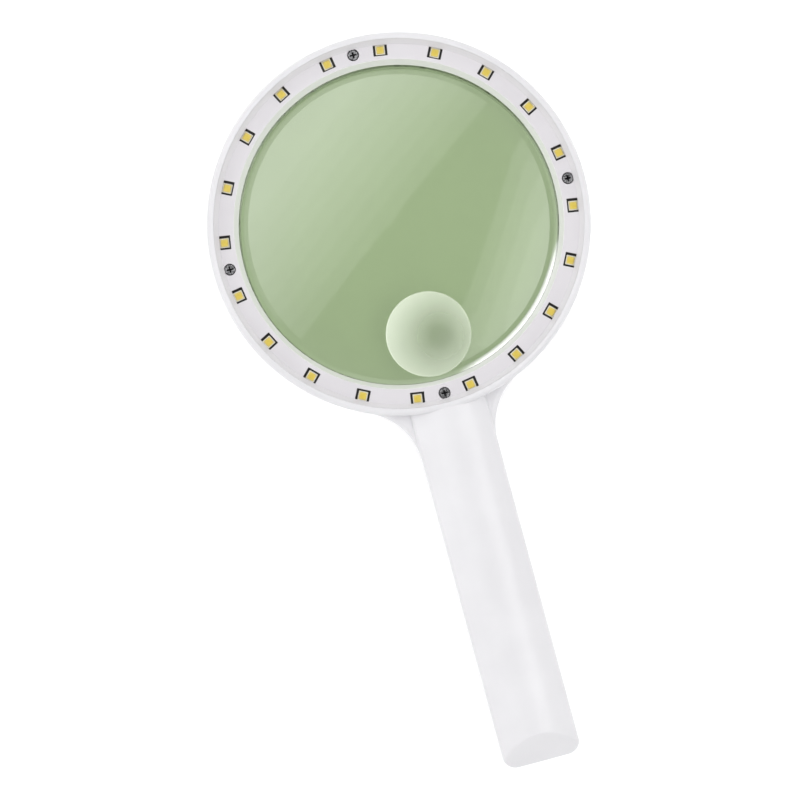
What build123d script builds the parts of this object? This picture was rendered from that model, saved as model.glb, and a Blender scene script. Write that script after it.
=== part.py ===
from build123d import *
import os
from math import asin, atan2, cos, degrees, radians, sin, sqrt

# Low vision magnifier: a round lighted lens with a flat handle, lying on its back.
# Millimetres. +Z is the lighted side, -Y runs down the handle, +X is to the right.
# The origin is at the middle of the footprint, on the surface that the back rests on.

# --- Overall form -----------------------------------------------------------
RING_R = 77.8            # outside radius of the lens ring
HANDLE_END = 226.2       # ring centre to the end of the handle
RING_Y = (HANDLE_END - RING_R) / 2
HANDLE_HALF = 16.0       # half the handle's width
NECK_R = 26.4            # concave flare where the handle meets the ring
END_CORNER_R = 5.5       # corners of the handle's end, in plan
WALL = 2.0               # moulded wall thickness
SPLIT_Z = 8.0            # parting plane of the two housings
SEAM_DEEP = 0.3          # shadow groove that runs along the parting plane
SEAM_TALL = 0.3
RIM_Z = 18.0             # crest of the ring
RING_ROUND = 2.6         # rounding of the ring's outer edge
CREST_Z = 17.5           # crest of the handle
CROWN_R = 25.0           # crown across the handle
HANDLE_EDGE_R = 3.0      # softened edge between the crown and the sides
WEB_Z = 10.5             # top of the flared webs beside the handle
WEB_ROUND = 2.0
BACK_EDGE_R = 4.5        # rounding round the back
FACET_START = 213.8      # sloping thumb facet at the end of the handle
FACET_MIDDLE = 220.0     # distance of a point on the facet
FACET_SLOPE = 0.7
FACET_EDGE_R = 1.4

# --- Lenses -------------------------------------------------------------------
LENS_R = 67.8            # outside radius of the main lens
CLEAR_R = 65.0           # clear opening in the back
CURVE_END_R = 61.5       # where the polished curve turns into the flat margin
SHOULDER_START_R = 63.2  # hollow shoulder that rises from the margin to the cover
SHOULDER_END_R = 65.2
SHOULDER_TILT = 20.0     # how steeply it ends
LENS_CURVE = 380.0       # radius of both polished faces
LENS_MID_Z = 9.0
LENS_EDGE = 3.0
LENS_SEAT_Z = LENS_MID_Z - LENS_EDGE / 2
LENS_TOP_Z = LENS_MID_Z + LENS_EDGE / 2
SEAT_WALL_R = 67.95      # wall round the lens, standing on the back
SEAT_OUTER_R = 69.1
OPENING_LIP = 1.5        # bevel round the clear opening
INSET_R = 17.4           # high-power lens set into the main one
INSET_OFFSET = 46.2      # from the ring centre towards the handle
INSET_POCKET = 0.8
INSET_EDGE = 0.8
INSET_CROWN = 2.5
INSET_BREAK = 0.3        # broken edge of its rim
INSET_PLAY = 0.05
CEMENT_T = 0.02

# --- Light ring ---------------------------------------------------------------
LIGHT_R = 71.0           # pitch radius of the lights and the cover screws
LED_COUNT = 20
LED_ANGLE = 9.0          # first light, from +X
LED_R = 71.25
LED_SIDE = 3.8
LED_CORNER_R = 0.2
LED_HEIGHT = 0.9
LED_POCKET = 3.1
LED_POCKET_CORNER_R = 0.5
LED_POCKET_DEPTH = 0.35
WINDOW_RADIAL = 4.5
WINDOW_ACROSS = 5.75
WINDOW_CORNER_R = 0.25
WINDOW_R = 70.85
PLATE_Z = 15.0           # outer face of the light cover
PLATE_UNDER_Z = 13.5
BOARD_Z = 11.2           # underside of the light board
BOARD_T = 1.0
BOARD_TOP_Z = BOARD_Z + BOARD_T
BOARD_R = 74.85
BOARD_INNER_R = 67.6
RESISTOR_COUNT = 4
RESISTOR_ANGLE = 36.0
RESISTOR_WIDE = 1.25
RESISTOR_LONG = 2.0
RESISTOR_T = 0.5
FLANGE_Z = 9.2           # underside of the front housing's inner flange
COVER_R = 75.03
COVER_INNER_R = 65.3
COVER_INNER_WALL = 2.1
COVER_OUTER_WALL = 1.25
COVER_BREAK = 0.1
COVER_BOSS_Z = 14.5      # top of the screw bosses, inside the plate
BEVEL_WIDE = 1.7         # bevel from the plate down to the lens
SLOPE_FOOT_R = 73.15     # where the cover starts to rise towards the rim
SLOPE_TOP_Z = 17.8
RIM_INNER_R = 75.05
FLANGE_INNER_R = 69.2
FLANGE_PLAY = 0.1        # between the flange and the back housing under it

# --- Screws -------------------------------------------------------------------
SCREW_HEAD_R = 2.2
SCREW_HEAD_T = 1.5
SCREW_HEAD_ROUND = 0.5
SCREW_SHANK_R = 1.0
SCREW_CLEAR_R = 1.15
SCREW_SEAT_R = 2.45
RECESS_WIDE = 0.7
RECESS_LONG = 2.6
RECESS_DEEP = 0.8
BOSS_R = 2.8
BOSS_FOOT_Z = 1.0        # bosses and posts start inside the back wall
COVER_SCREW_COUNT = 4
COVER_SEAT_Z = 13.2
COVER_SCREW_LONG = 9.2
COVER_PILOT_DEEP = 6.0
HOUSING_SCREW_X = 12.2
HOUSING_SCREW_L = 84.0
HOUSING_SEAT_Z = 3.2
HOUSING_FOOT_BOSS_R = 3.2
HOUSING_BOSS_Z = 12.6
HOUSING_PILOT_Z = 11.5
HOUSING_SCREW_END_Z = 11.0

# --- Switch -------------------------------------------------------------------
BUTTON_L = 97.0          # ring centre to the middle of the button
BUTTON_LONG = 16.0
BUTTON_WIDE = 9.0
BUTTON_GAP = 0.2
BUTTON_RECESS = 0.35
BUTTON_ROUND = 0.6
BUTTON_FLANGE_OUT = 1.0  # flange behind the wall, which keeps the button in
BUTTON_FLANGE_T = 0.9
BUTTON_FLANGE_Z = 2.05
DIMPLE_COUNT = 3
DIMPLE_R = 0.8
DIMPLE_STEP = 4.0
DIMPLE_DEEP = 0.3
SWITCH_SIDE = 6.0
SWITCH_CORNER_R = 0.4
SWITCH_Z = 4.9
SWITCH_BOARD_Z = 8.0
SWITCH_BOARD_T = 1.0
SWITCH_BOARD_HALF = 11.0
SWITCH_BOARD_L = (87.0, 107.0)
POST_R = 1.5             # four posts that carry the switch board
POST_APART_X = 19.0
POST_APART_Y = 14.0
PLUNGER_R = 1.5
PLUNGER_PLAY = 0.1
PLUNGER_Z = 4.0
PLUNGER_TALL = 1.9
STEM_R = 1.6
CHIP_WIDE = 3.9
CHIP_LONG = 4.9
CHIP_T = 1.4
CHIP_UP = 3.0            # from the button's axis towards the ring
CHIP_LEGS = 4            # on each side
CHIP_LEG_SPAN = 4.8
CHIP_LEG_PITCH = 1.27
CHIP_LEG_LONG = 1.0
CHIP_LEG_WIDE = 0.4
CHIP_LEG_T = 0.3

# --- Light wires --------------------------------------------------------------
WIRE_R = 0.6
WIRE_HOLE_R = 1.0
WIRE_X = 5.0
WIRE_L = 72.4            # where they rise through the flange
WIRE_BOARD_L = 88.5      # where they leave the switch board
WIRE_BEND_R = 1.6
WIRE_FLOOR_Z = 5.0

# --- Batteries: three AAA cells, two side by side and one behind them ----------
CELL_R = 5.25
CELL_LENGTH = 44.5
CELL_ROUND = 0.4
CELL_NUB_R = 1.9
CELL_NUB_T = 0.9
CELL_Z = 7.9
CELL_SIDE = 5.6          # the two cells side by side
PAIR_L = 113.0           # near end of the side-by-side cells
REAR_L = 165.0           # near end of the rear cell
PAIR_END = PAIR_L + CELL_LENGTH
REAR_END = REAR_L + CELL_LENGTH

# --- Battery tray ---------------------------------------------------------------
BULKHEAD_L = (108.6, 110.0)
PARTITION_L = (160.5, 162.0)
PARTITION_Z = 12.0
END_STOP_L = (212.5, 214.0)
TRAY_HALF = 12.8
TRAY_FOOT_Z = 2.4
TRAY_BITE = 0.6          # how far the tray's walls run into the housing's
RIB_T = 0.8
RIB_L = (109.0, 216.0)
RIB_MID_L = sum(RIB_L) / 2
RIB_LONG = RIB_L[1] - RIB_L[0]
RIB_FOOT_Z = 4.0
RIB_FOOT_OUT = 0.9
SLOT_PLAY = 0.2

# --- Battery door -----------------------------------------------------------------
DOOR_L = 108.4           # where the battery door starts
DOOR_SEAM = 0.4          # between the back housing and the door
DOOR_GAP = 0.15          # under the front housing, and over the tray's feet
BEAD_OUT = 0.8           # beads that slide on the tray's feet
BEAD_TALL = 1.0
BEAD_LONG = 103.0
GROOVE_COUNT = 5         # grip grooves
GROOVE_STEP = 2.4
GROOVE_LONG = 16.0
GROOVE_WIDE = 1.2
GROOVE_DEEP = 0.4
GROOVE_MIDDLE_L = 120.4

# --- Battery contacts ---------------------------------------------------------------
CONTACT_T = 0.5
PLATE_SIDE = 9.0
STUD_R = 2.3
TAB_WIDE = 2.4           # solder tabs, resting on the switch board
TAB_Z = 9.2
TAB_T = 0.4
TAB_SLOT = 0.8
TAB_LAP = 2.0
STRAP_X = 11.6           # strap from the rear spring back to the partition
STRAP_SLOT = 0.8
STRAP_HEIGHT = 4.0
STRAP_T = 0.5
LINK_X = -5.6            # clip over the partition
LINK_PLATE_X = -2.6
LINK_WIDE = 4.0
SPRING_COIL_R = 3.0
SPRING_WIRE_R = 0.3
SPRING_TURNS = 2.5

OVERLAP = 0.1            # sinks one feature into the next, so that they join
CUT = 4.0                # long enough to cut right through a wall
TRIM_WIDE = 64.0         # wider than the handle, for blocks that trim it
RING_AXIS = Axis((0, RING_Y, 0), (0, 0, 1))
RING_SECTION = Plane(origin=(0, RING_Y, 0), x_dir=(1, 0, 0), z_dir=(0, -1, 0))
BUTTON_PLANE = Plane.XY.move(Location((0, RING_Y - BUTTON_L, 0)))
HOUSING_SCREWS = [(side * HOUSING_SCREW_X, RING_Y - HOUSING_SCREW_L) for side in (-1, 1)]


def along(distance):
    """Y of a point that lies `distance` down the handle from the ring centre."""
    return RING_Y - distance


def ring_plane(height):
    """Horizontal plane at `height`, centred on the ring."""
    return Plane.XY.move(Location((0, RING_Y, height)))


def plan_outline(inset):
    """Ring, neck and handle in plan, drawn `inset` inside the outer walls."""
    ring = RING_R - inset
    neck = NECK_R + inset
    half = HANDLE_HALF - inset
    end = along(HANDLE_END - inset)
    corner = END_CORNER_R - inset
    neck_x = HANDLE_HALF + NECK_R
    neck_l = sqrt((RING_R + NECK_R) ** 2 - neck_x**2)
    lean = degrees(atan2(neck_l, neck_x))
    with BuildSketch() as outline:
        with BuildLine():
            CenterArc((0, RING_Y), ring, -lean, 180 + 2 * lean)
            CenterArc((neck_x, along(neck_l)), neck, 180 - lean, lean)
            CenterArc((-neck_x, along(neck_l)), neck, 0, lean)
            Line((half, along(neck_l)), (half, end + corner))
            Line((-half, along(neck_l)), (-half, end + corner))
            CenterArc((half - corner, end + corner), corner, -90, 90)
            CenterArc((corner - half, end + corner), corner, 180, 90)
            Line((corner - half, end), (half - corner, end))
        make_face()
    return outline.sketch


def handle_section(inset, base, corner_r):
    """Cross-section of the crowned handle above `base`, drawn `inset` inside the walls."""
    half = HANDLE_HALF - inset
    crown = CROWN_R - inset
    crown_z = CREST_Z - CROWN_R
    edge_z = crown_z + sqrt(crown**2 - half**2)
    with BuildSketch() as section:
        with BuildLine():
            Line((-half, base), (-half, edge_z))
            ThreePointArc((-half, edge_z), (0, crown_z + crown), (half, edge_z))
            Polyline((half, edge_z), (half, base), (-half, base))
        make_face()
        if corner_r:
            fillet(section.vertices().group_by(Axis.Y)[-1], radius=corner_r)
    return section.sketch


def handle_bar(inset, start, end, base=SPLIT_Z, corner_r=0):
    """Crowned bar between two distances down the handle, cut off by the thumb facet."""
    drop = inset * sqrt(1 + FACET_SLOPE**2)
    facet = Plane(
        origin=(0, along(FACET_START), CREST_Z - drop),
        x_dir=(1, 0, 0),
        z_dir=(0, -FACET_SLOPE, 1),
    )
    across = Plane(origin=(0, along(start), 0), x_dir=(1, 0, 0), z_dir=(0, -1, 0))
    with BuildPart() as bar:
        with BuildSketch(across):
            add(handle_section(inset, base, corner_r))
        extrude(amount=end - start)
        split(bisect_by=facet, keep=Keep.BOTTOM)
    return bar.part


def back_shell():
    """The whole rounded back with its hollow, before it is divided at the door."""
    with BuildPart() as shell:
        with BuildSketch():
            add(plan_outline(0))
        extrude(amount=SPLIT_Z)
        fillet(shell.faces().sort_by(Axis.Z)[0].edges(), radius=BACK_EDGE_R)
        with BuildSketch(Plane.XY.offset(WALL)):
            add(plan_outline(WALL))
        extrude(amount=SPLIT_Z - WALL, mode=Mode.SUBTRACT)
        fillet(shell.edges().filter_by_position(Axis.Z, WALL, WALL), radius=BACK_EDGE_R - WALL)
        with BuildSketch(Plane.XY.offset(SPLIT_Z - SEAM_TALL)):
            add(plan_outline(0))
            add(plan_outline(SEAM_DEEP), mode=Mode.SUBTRACT)
        extrude(amount=SEAM_TALL, mode=Mode.SUBTRACT)
    return shell.part


os.makedirs("parts", exist_ok=True)


def save(piece, name):
    piece.part.label = name
    export_step(piece.part, f"parts/{name}.step")


# --- Back housing: the side that faces the user, with the lens seat --------------
with BuildPart() as back_housing:
    add(back_shell())
    split(
        bisect_by=Plane(origin=(0, along(DOOR_L - DOOR_SEAM), 0), z_dir=(0, 1, 0)),
        keep=Keep.TOP,
    )
    with BuildSketch(RING_SECTION):
        with BuildLine():
            Polyline(
                (CLEAR_R, 0),
                (SEAT_OUTER_R, 0),
                (SEAT_OUTER_R, FLANGE_Z - FLANGE_PLAY),
                (SEAT_WALL_R, FLANGE_Z - FLANGE_PLAY),
                (SEAT_WALL_R, LENS_SEAT_Z),
                (CLEAR_R, LENS_SEAT_Z),
                close=True,
            )
        make_face()
    revolve(axis=RING_AXIS)
    with BuildSketch(ring_plane(BOSS_FOOT_Z)):
        with PolarLocations(LIGHT_R, COVER_SCREW_COUNT):
            Circle(BOSS_R)
    extrude(amount=FLANGE_Z - BOSS_FOOT_Z)
    # Opening under the lens, with a bevelled lip
    with BuildSketch(RING_SECTION):
        with BuildLine():
            Polyline(
                (0, 0),
                (CLEAR_R + OPENING_LIP, 0),
                (CLEAR_R, OPENING_LIP),
                (CLEAR_R, LENS_SEAT_Z),
                (SEAT_WALL_R, LENS_SEAT_Z),
                (SEAT_WALL_R, RIM_Z),
                (0, RIM_Z),
                close=True,
            )
        make_face()
    revolve(axis=RING_AXIS, mode=Mode.SUBTRACT)
    # Pilot holes for the cover screws
    with BuildSketch(ring_plane(FLANGE_Z)):
        with PolarLocations(LIGHT_R, COVER_SCREW_COUNT):
            Circle(SCREW_SHANK_R)
    extrude(amount=-COVER_PILOT_DEEP, mode=Mode.SUBTRACT)
    # Posts under the switch board and bosses for the housing screws
    with BuildSketch(BUTTON_PLANE.offset(BOSS_FOOT_Z)):
        with GridLocations(POST_APART_X, POST_APART_Y, 2, 2):
            Circle(POST_R)
    extrude(amount=SPLIT_Z - BOSS_FOOT_Z)
    with BuildSketch(Plane.XY.offset(BOSS_FOOT_Z)):
        with Locations(*HOUSING_SCREWS):
            Circle(HOUSING_FOOT_BOSS_R)
    extrude(amount=SPLIT_Z - BOSS_FOOT_Z)
    for radius, depth in ((SCREW_CLEAR_R, SPLIT_Z), (SCREW_SEAT_R, HOUSING_SEAT_Z)):
        with BuildSketch():
            with Locations(*HOUSING_SCREWS):
                Circle(radius)
        extrude(amount=depth, mode=Mode.SUBTRACT)
    # Opening for the push button
    with BuildSketch(BUTTON_PLANE):
        SlotOverall(BUTTON_LONG + 2 * BUTTON_GAP, BUTTON_WIDE + 2 * BUTTON_GAP, rotation=90)
    extrude(amount=WALL, mode=Mode.SUBTRACT)
save(back_housing, "back_housing")

# --- Battery tray: side ribs with feet for the door to slide on, and cross walls ---
# It is moulded in one with the front housing.
with BuildPart() as battery_tray:
    for side in (-1, 1):
        with BuildSketch(Plane.XY.offset(RIB_FOOT_Z)):
            with Locations((side * (TRAY_HALF - RIB_T / 2), along(RIB_MID_L))):
                Rectangle(RIB_T, RIB_LONG)
        extrude(amount=RIM_Z - RIB_FOOT_Z)
        with BuildSketch(Plane.XY.offset(RIB_FOOT_Z)):
            with Locations((side * (TRAY_HALF + RIB_FOOT_OUT / 2), along(RIB_MID_L))):
                Rectangle(RIB_FOOT_OUT, RIB_LONG)
        extrude(amount=RIB_T)
    for (near, far), top in (
        (BULKHEAD_L, RIM_Z),
        (PARTITION_L, PARTITION_Z),
        (END_STOP_L, RIM_Z),
    ):
        with BuildSketch(Plane.XY.offset(TRAY_FOOT_Z)):
            with Locations((0, along((near + far) / 2))):
                Rectangle(2 * TRAY_HALF, far - near)
        extrude(amount=top - TRAY_FOOT_Z)
    add(handle_bar(WALL - TRAY_BITE, RING_R, HANDLE_END, base=0), mode=Mode.INTERSECT)
    # Slots for the contact tabs in the bulkhead, and for the strap in the partition
    for side in (-1, 1):
        with Locations((side * CELL_SIDE, along(sum(BULKHEAD_L) / 2), TAB_Z)):
            Box(TAB_WIDE + SLOT_PLAY, CUT, TAB_SLOT, mode=Mode.SUBTRACT)
    with Locations((STRAP_X, along(sum(PARTITION_L) / 2), CELL_Z)):
        Box(STRAP_SLOT, CUT, STRAP_HEIGHT + 2 * SLOT_PLAY, mode=Mode.SUBTRACT)

# --- Front housing: the lighted side, with the whole top of the handle ------------
# The crowned top of the handle, with every edge of the thumb facet softened
with BuildPart() as handle_top:
    add(handle_bar(0, RIM_INNER_R, HANDLE_END, corner_r=HANDLE_EDGE_R))
    with BuildSketch(Plane.XY.offset(SPLIT_Z)):
        add(plan_outline(0))
    extrude(amount=RIM_Z, mode=Mode.INTERSECT)
    facet_drop = FACET_SLOPE * (FACET_MIDDLE - FACET_START)
    facet = handle_top.faces().sort_by_distance((0, along(FACET_MIDDLE), CREST_Z - facet_drop))[0]
    fillet(facet.edges(), radius=FACET_EDGE_R)

with BuildPart() as front_housing:
    # Flared neck and the base of the handle
    with BuildSketch(Plane.XY.offset(SPLIT_Z)):
        add(plan_outline(0))
    extrude(amount=WEB_Z - SPLIT_Z)
    fillet(front_housing.faces().sort_by(Axis.Z)[-1].edges(), radius=WEB_ROUND)
    # The base stops short of the facet, which the handle's own top forms
    with BuildSketch(Plane.XY.offset(SPLIT_Z)):
        with Locations((0, along(HANDLE_END))):
            Rectangle(TRIM_WIDE, 2 * (HANDLE_END - RING_R - NECK_R))
    extrude(amount=RIM_Z, mode=Mode.SUBTRACT)
    add(handle_top.part)
    # Rounded ring wall, solid for now
    with BuildSketch(RING_SECTION):
        with BuildLine():
            Polyline((RING_R - RING_ROUND, RIM_Z), (0, RIM_Z), (0, SPLIT_Z), (RING_R, SPLIT_Z))
            Line((RING_R, SPLIT_Z), (RING_R, RIM_Z - RING_ROUND))
            CenterArc((RING_R - RING_ROUND, RIM_Z - RING_ROUND), RING_ROUND, 0, 90)
        make_face()
    revolve(axis=RING_AXIS)
    # Inside of the ring: room for the light cover, the flange, the lens and the wires
    with BuildSketch(RING_SECTION):
        with BuildLine():
            Polyline(
                (0, RIM_Z + OVERLAP),
                (RIM_INNER_R, RIM_Z + OVERLAP),
                (RIM_INNER_R, BOARD_Z),
                (FLANGE_INNER_R, BOARD_Z),
                (FLANGE_INNER_R, FLANGE_Z),
                (RING_R - WALL, FLANGE_Z),
                (RING_R - WALL, SPLIT_Z - OVERLAP),
                (0, SPLIT_Z - OVERLAP),
                close=True,
            )
        make_face()
    revolve(axis=RING_AXIS, mode=Mode.SUBTRACT)
    add(handle_bar(WALL, RING_R + WALL, HANDLE_END - WALL), mode=Mode.SUBTRACT)
    add(battery_tray.part)
    # Pilot holes in the flange and for the housing screws, and holes for the light wires
    with BuildSketch(ring_plane(FLANGE_Z)):
        with PolarLocations(LIGHT_R, COVER_SCREW_COUNT):
            Circle(SCREW_CLEAR_R)
        with Locations((-WIRE_X, -WIRE_L), (WIRE_X, -WIRE_L)):
            Circle(WIRE_HOLE_R)
    extrude(amount=BOARD_Z - FLANGE_Z, mode=Mode.SUBTRACT)
    with BuildSketch(Plane.XY.offset(SPLIT_Z)):
        with Locations(*HOUSING_SCREWS):
            Circle(BOSS_R)
    extrude(amount=HOUSING_BOSS_Z - SPLIT_Z)
    with BuildSketch(Plane.XY.offset(SPLIT_Z)):
        with Locations(*HOUSING_SCREWS):
            Circle(SCREW_SHANK_R)
    extrude(amount=HOUSING_PILOT_Z - SPLIT_Z, mode=Mode.SUBTRACT)
save(front_housing, "front_housing")

# --- Light cover: the flat white ring with a window over each light ---------------
with BuildPart() as led_cover_ring:
    with BuildSketch(RING_SECTION):
        with BuildLine():
            Polyline(
                (COVER_INNER_R, LENS_TOP_Z),
                (COVER_INNER_R + BEVEL_WIDE, PLATE_Z),
                (SLOPE_FOOT_R, PLATE_Z),
                (COVER_R - COVER_BREAK, SLOPE_TOP_Z),
                (COVER_R, SLOPE_TOP_Z - COVER_BREAK),
                (COVER_R, BOARD_TOP_Z),
                (COVER_R - COVER_OUTER_WALL, BOARD_TOP_Z),
                (COVER_R - COVER_OUTER_WALL, PLATE_UNDER_Z),
                (COVER_INNER_R + COVER_INNER_WALL, PLATE_UNDER_Z),
                (COVER_INNER_R + COVER_INNER_WALL, LENS_TOP_Z),
                close=True,
            )
        make_face()
    revolve(axis=RING_AXIS)
    with BuildSketch(ring_plane(BOARD_TOP_Z)):
        with PolarLocations(LIGHT_R, COVER_SCREW_COUNT):
            Circle(BOSS_R)
    extrude(amount=COVER_BOSS_Z - BOARD_TOP_Z)
    with BuildSketch(ring_plane(PLATE_UNDER_Z)):
        with PolarLocations(WINDOW_R, LED_COUNT, start_angle=LED_ANGLE):
            RectangleRounded(WINDOW_RADIAL, WINDOW_ACROSS, WINDOW_CORNER_R)
    extrude(amount=PLATE_Z - PLATE_UNDER_Z, mode=Mode.SUBTRACT)
    for radius, foot_z in ((SCREW_SEAT_R, COVER_SEAT_Z), (SCREW_CLEAR_R, BOARD_TOP_Z)):
        with BuildSketch(ring_plane(foot_z)):
            with PolarLocations(LIGHT_R, COVER_SCREW_COUNT):
                Circle(radius)
        extrude(amount=PLATE_Z - foot_z, mode=Mode.SUBTRACT)
save(led_cover_ring, "led_cover_ring")

# --- Main lens: biconvex, with a flat margin held between seat and cover ----------
# A hollow shoulder closes the corner between the margin and the cover.
APEX_RISE = LENS_CURVE - sqrt(LENS_CURVE**2 - CURVE_END_R**2)
LENS_APEX_Z = LENS_TOP_Z + APEX_RISE
LENS_BASE_Z = 2 * LENS_MID_Z - LENS_APEX_Z
INSET_TILT = asin(INSET_OFFSET / LENS_CURVE)
INSET_PLANE = Plane(
    origin=(0, along(INSET_OFFSET), LENS_APEX_Z - LENS_CURVE * (1 - cos(INSET_TILT))),
    x_dir=(1, 0, 0),
    z_dir=(0, -sin(INSET_TILT), cos(INSET_TILT)),
)


def on_curve(radius):
    """Height that the polished face rises above the margin, `radius` from the axis."""
    return sqrt(LENS_CURVE**2 - radius**2) - (LENS_CURVE - APEX_RISE)


shoulder_curve = (SHOULDER_END_R - SHOULDER_START_R) / sin(radians(SHOULDER_TILT))


def on_shoulder(radius):
    """Height of the shoulder above the margin, `radius` from the axis."""
    return shoulder_curve - sqrt(shoulder_curve**2 - (radius - SHOULDER_START_R) ** 2)


with BuildPart() as main_lens:
    mid_r = CURVE_END_R / 2
    shoulder_mid_r = (SHOULDER_START_R + SHOULDER_END_R) / 2
    with BuildSketch(RING_SECTION):
        with BuildLine():
            ThreePointArc(
                (0, LENS_APEX_Z),
                (mid_r, LENS_TOP_Z + on_curve(mid_r)),
                (CURVE_END_R, LENS_TOP_Z),
            )
            Line((CURVE_END_R, LENS_TOP_Z), (SHOULDER_START_R, LENS_TOP_Z))
            ThreePointArc(
                (SHOULDER_START_R, LENS_TOP_Z),
                (shoulder_mid_r, LENS_TOP_Z + on_shoulder(shoulder_mid_r)),
                (SHOULDER_END_R, LENS_TOP_Z + on_shoulder(SHOULDER_END_R)),
            )
            Polyline(
                (SHOULDER_END_R, LENS_TOP_Z + on_shoulder(SHOULDER_END_R)),
                (SHOULDER_END_R, LENS_TOP_Z),
                (LENS_R, LENS_TOP_Z),
                (LENS_R, LENS_SEAT_Z),
                (CURVE_END_R, LENS_SEAT_Z),
            )
            ThreePointArc(
                (CURVE_END_R, LENS_SEAT_Z),
                (mid_r, LENS_SEAT_Z - on_curve(mid_r)),
                (0, LENS_BASE_Z),
            )
            Line((0, LENS_BASE_Z), (0, LENS_APEX_Z))
        make_face()
    revolve(axis=RING_AXIS)
    # Shallow pocket that the high-power lens is cemented into
    with BuildSketch(INSET_PLANE.offset(-INSET_POCKET)):
        Circle(INSET_R + INSET_PLAY)
    extrude(amount=CUT, mode=Mode.SUBTRACT)
save(main_lens, "main_lens")

# --- High-power lens: flat base, short edge, strongly domed face --------------------
with BuildPart() as inset_lens:
    inset_section = Plane(
        origin=INSET_PLANE.origin, x_dir=INSET_PLANE.x_dir, z_dir=-INSET_PLANE.y_dir
    )
    dome_r = INSET_R - INSET_BREAK
    dome_curve = (dome_r**2 + INSET_CROWN**2) / (2 * INSET_CROWN)
    dome_mid = dome_r / 2
    dome_mid_z = INSET_EDGE + INSET_CROWN - dome_curve + sqrt(dome_curve**2 - dome_mid**2)
    with BuildSketch(inset_section):
        with BuildLine():
            Polyline(
                (dome_r, INSET_EDGE),
                (INSET_R, INSET_EDGE - INSET_BREAK),
                (INSET_R, CEMENT_T - INSET_POCKET),
                (0, CEMENT_T - INSET_POCKET),
                (0, INSET_EDGE + INSET_CROWN),
            )
            ThreePointArc(
                (0, INSET_EDGE + INSET_CROWN), (dome_mid, dome_mid_z), (dome_r, INSET_EDGE)
            )
        make_face()
    revolve(axis=Axis(INSET_PLANE.origin, INSET_PLANE.z_dir))
save(inset_lens, "inset_lens")

# --- Light board: a black ring with a hole at each cover screw ----------------------
with BuildPart() as led_board:
    with BuildSketch(ring_plane(BOARD_Z)):
        Circle(BOARD_R)
        Circle(BOARD_INNER_R, mode=Mode.SUBTRACT)
        with PolarLocations(LIGHT_R, COVER_SCREW_COUNT):
            Circle(SCREW_CLEAR_R, mode=Mode.SUBTRACT)
    extrude(amount=BOARD_T)
save(led_board, "led_board")

# --- Lights: square packages with a pocket for the phosphor -------------------------
for index in range(LED_COUNT):
    turn = LED_ANGLE + index * 360 / LED_COUNT
    spot = Plane(
        origin=(
            LED_R * cos(radians(turn)),
            RING_Y + LED_R * sin(radians(turn)),
            BOARD_TOP_Z,
        ),
        x_dir=(cos(radians(turn)), sin(radians(turn)), 0),
        z_dir=(0, 0, 1),
    )
    with BuildPart() as led:
        with BuildSketch(spot):
            RectangleRounded(LED_SIDE, LED_SIDE, LED_CORNER_R)
        extrude(amount=LED_HEIGHT)
        with BuildSketch(spot.offset(LED_HEIGHT)):
            RectangleRounded(LED_POCKET, LED_POCKET, LED_POCKET_CORNER_R)
        extrude(amount=-LED_POCKET_DEPTH, mode=Mode.SUBTRACT)
    save(led, f"led_{index + 1:02d}")

# --- Series resistors on the light board ---------------------------------------------
with BuildPart() as led_resistors:
    with BuildSketch(ring_plane(BOARD_TOP_Z)):
        with PolarLocations(LIGHT_R, RESISTOR_COUNT, start_angle=RESISTOR_ANGLE):
            Rectangle(RESISTOR_WIDE, RESISTOR_LONG)
    extrude(amount=RESISTOR_T)
save(led_resistors, "led_resistors")

# --- Cover screws: four small pan heads round the light ring ---------------------------
with BuildPart() as cover_screws:
    with BuildSketch(ring_plane(COVER_SEAT_Z)):
        with PolarLocations(LIGHT_R, COVER_SCREW_COUNT):
            Circle(SCREW_HEAD_R)
    extrude(amount=SCREW_HEAD_T)
    heads = cover_screws.faces().sort_by(Axis.Z)[-COVER_SCREW_COUNT:]
    fillet(heads.edges(), radius=SCREW_HEAD_ROUND)
    with BuildSketch(ring_plane(COVER_SEAT_Z)):
        with PolarLocations(LIGHT_R, COVER_SCREW_COUNT):
            Circle(SCREW_SHANK_R)
    extrude(amount=-COVER_SCREW_LONG)
    with BuildSketch(ring_plane(COVER_SEAT_Z + SCREW_HEAD_T)):
        with PolarLocations(LIGHT_R, COVER_SCREW_COUNT):
            Rectangle(RECESS_WIDE, RECESS_LONG)
            Rectangle(RECESS_LONG, RECESS_WIDE)
    extrude(amount=-RECESS_DEEP, mode=Mode.SUBTRACT)
save(cover_screws, "cover_screws")

# --- Housing screws: driven from the back, beside the neck ------------------------------
with BuildPart() as housing_screws:
    with BuildSketch(Plane.XY.offset(HOUSING_SEAT_Z)):
        with Locations(*HOUSING_SCREWS):
            Circle(SCREW_HEAD_R)
    extrude(amount=-SCREW_HEAD_T)
    fillet(housing_screws.faces().sort_by(Axis.Z)[: len(HOUSING_SCREWS)].edges(), radius=SCREW_HEAD_ROUND)
    with BuildSketch(Plane.XY.offset(HOUSING_SEAT_Z)):
        with Locations(*HOUSING_SCREWS):
            Circle(SCREW_SHANK_R)
    extrude(amount=HOUSING_SCREW_END_Z - HOUSING_SEAT_Z)
    with BuildSketch(Plane.XY.offset(HOUSING_SEAT_Z - SCREW_HEAD_T)):
        with Locations(*HOUSING_SCREWS):
            Rectangle(RECESS_WIDE, RECESS_LONG)
            Rectangle(RECESS_LONG, RECESS_WIDE)
    extrude(amount=RECESS_DEEP, mode=Mode.SUBTRACT)
save(housing_screws, "housing_screws")

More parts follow.
